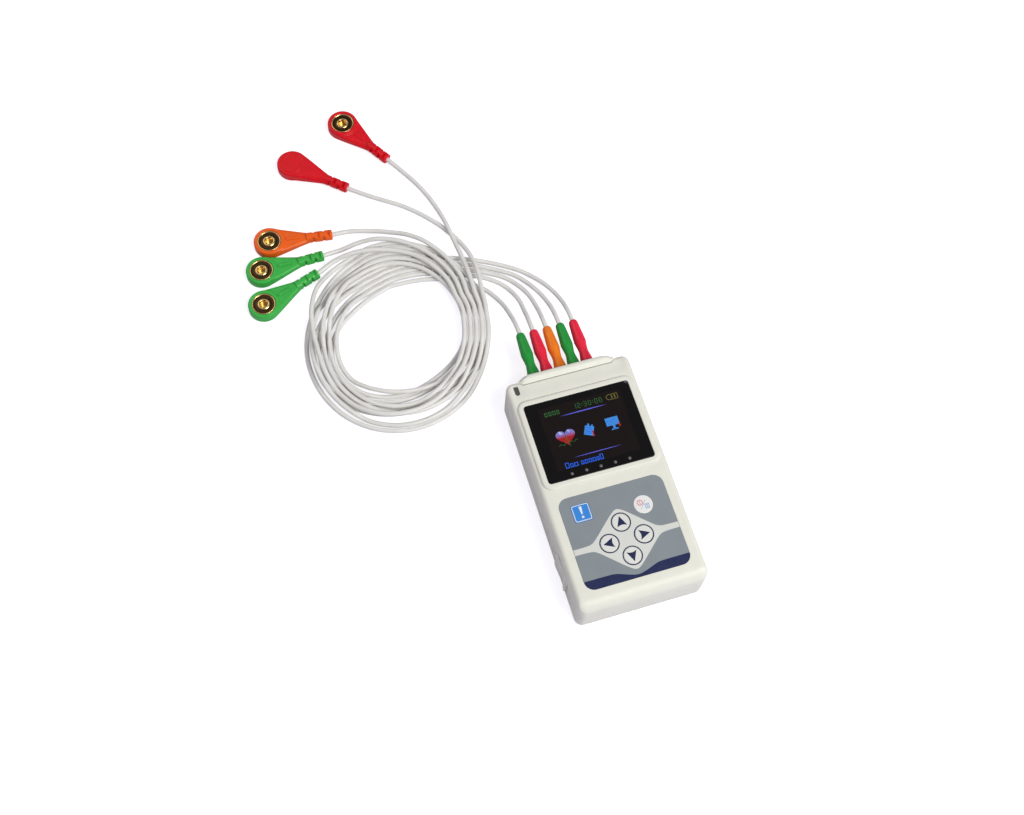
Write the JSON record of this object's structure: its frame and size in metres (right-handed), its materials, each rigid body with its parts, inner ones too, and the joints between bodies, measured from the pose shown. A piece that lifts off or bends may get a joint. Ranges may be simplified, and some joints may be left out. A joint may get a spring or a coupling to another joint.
{
  "type": "holter monitor",
  "caption": "Pocket heart recorder with a display, a membrane keypad with clicking keys, a sliding battery door and plug-in snap leads whose cords lie wound beside it.",
  "frame": {"origin": "middle of the recorder's footprint on the table, at the underside of the rear cover; the leads beside it are not counted", "axes": "+Z out of the keypad and display side, +Y along the case towards the lead sockets, +X to the right when the display is read"},
  "size_m": [0.1709, 0.308, 0.026],
  "materials": {
    "case": "fine satin cream white",
    "window": "glossy black window",
    "display": "dark display with coloured pictures",
    "keypad": "grey printed film with a light diamond and a navy band",
    "arrow_key": "light film with printed rings and arrows",
    "mark_key": "blue film with a light edge",
    "power_key": "grey film with two printed signs",
    "board": "green circuit board",
    "black_plastic": "black moulding",
    "light_guide": "frosted light guides",
    "lens": "grey-green lens",
    "socket_plastic": "dark grey moulding",
    "gold": "gold plated",
    "spring_steel": "nickel plated spring steel",
    "screw_steel": "plated steel",
    "cell": "plain sleeve without printing",
    "green": "glossy soft green",
    "red": "glossy soft red",
    "orange": "glossy soft orange",
    "cord": "light grey cord with a slight gloss",
    "snap_metal": "dark bronze disc with a gold rim"
  },
  "bodies": {
    "case": {"front_cover": "case", "rear_cover": "case", "display_window": "window", "display_panel": "display", "display_frame": "screw_steel", "keypad_film": "keypad", "key_switches": "black_plastic", "main_board": "board", "board_chips": "black_plastic", "status_lights": "light_guide", "indicator_lens": "lens", "socket_block": "socket_plastic", "socket_pins": "gold", "battery_cells": "cell", "battery_springs": "spring_steel", "battery_plates": "spring_steel", "port_cover_pin": "screw_steel", "usb_socket": "screw_steel", "memory_card": "black_plastic", "card_holder": "screw_steel", "buzzer": "black_plastic", "case_screws": "screw_steel", "board_screws": "screw_steel", "plug_1": "green", "plug_2": "red", "plug_3": "orange", "plug_4": "green", "plug_5": "red", "plug_contacts": "gold", "cord_1_ends": "cord", "cord_2_ends": "cord", "cord_3_ends": "cord", "cord_4_ends": "cord", "cord_5_ends": "cord", "cord_1_coil": "cord", "cord_2_coil": "cord", "cord_3_coil": "cord", "cord_4_coil": "cord", "cord_5_coil": "cord", "snap_1": "green", "snap_2": "red", "snap_3": "orange", "snap_4": "green", "snap_5": "red", "snap_sockets": "snap_metal"},
    "up_key": {"key_up": "arrow_key"},
    "down_key": {"key_down": "arrow_key"},
    "left_key": {"key_left": "arrow_key"},
    "right_key": {"key_right": "arrow_key"},
    "mark_key": {"key_mark": "mark_key"},
    "power_key": {"key_power": "power_key"},
    "battery_door": {"battery_door": "case"},
    "port_cover": {"port_cover": "case"}
  },
  "joints": [
    {"name": "up_key_press", "type": "slide", "parent": "case", "child": "up_key", "axis": [0, 0, -1], "range_m": [0, 0.0005], "stiffness_N_per_m": 3000, "springref_m": -0.0002},
    {"name": "down_key_press", "type": "slide", "parent": "case", "child": "down_key", "axis": [0, 0, -1], "range_m": [0, 0.0005], "stiffness_N_per_m": 3000, "springref_m": -0.0002},
    {"name": "left_key_press", "type": "slide", "parent": "case", "child": "left_key", "axis": [0, 0, -1], "range_m": [0, 0.0005], "stiffness_N_per_m": 3000, "springref_m": -0.0002},
    {"name": "right_key_press", "type": "slide", "parent": "case", "child": "right_key", "axis": [0, 0, -1], "range_m": [0, 0.0005], "stiffness_N_per_m": 3000, "springref_m": -0.0002},
    {"name": "mark_key_press", "type": "slide", "parent": "case", "child": "mark_key", "axis": [0, 0, -1], "range_m": [0, 0.0005], "stiffness_N_per_m": 3000, "springref_m": -0.0002},
    {"name": "power_key_press", "type": "slide", "parent": "case", "child": "power_key", "axis": [0, 0, -1], "range_m": [0, 0.0005], "stiffness_N_per_m": 3000, "springref_m": -0.0002},
    {"name": "battery_door_slide", "type": "slide", "parent": "case", "child": "battery_door", "axis": [0, -1, 0], "range_m": [0, 0.056]},
    {"name": "port_cover_hinge", "type": "hinge", "parent": "case", "child": "port_cover", "pos_m": [-0.0304, -0.0243, 0.008], "axis": [0, 0, -1], "range_deg": [0, 90]}
  ]
}
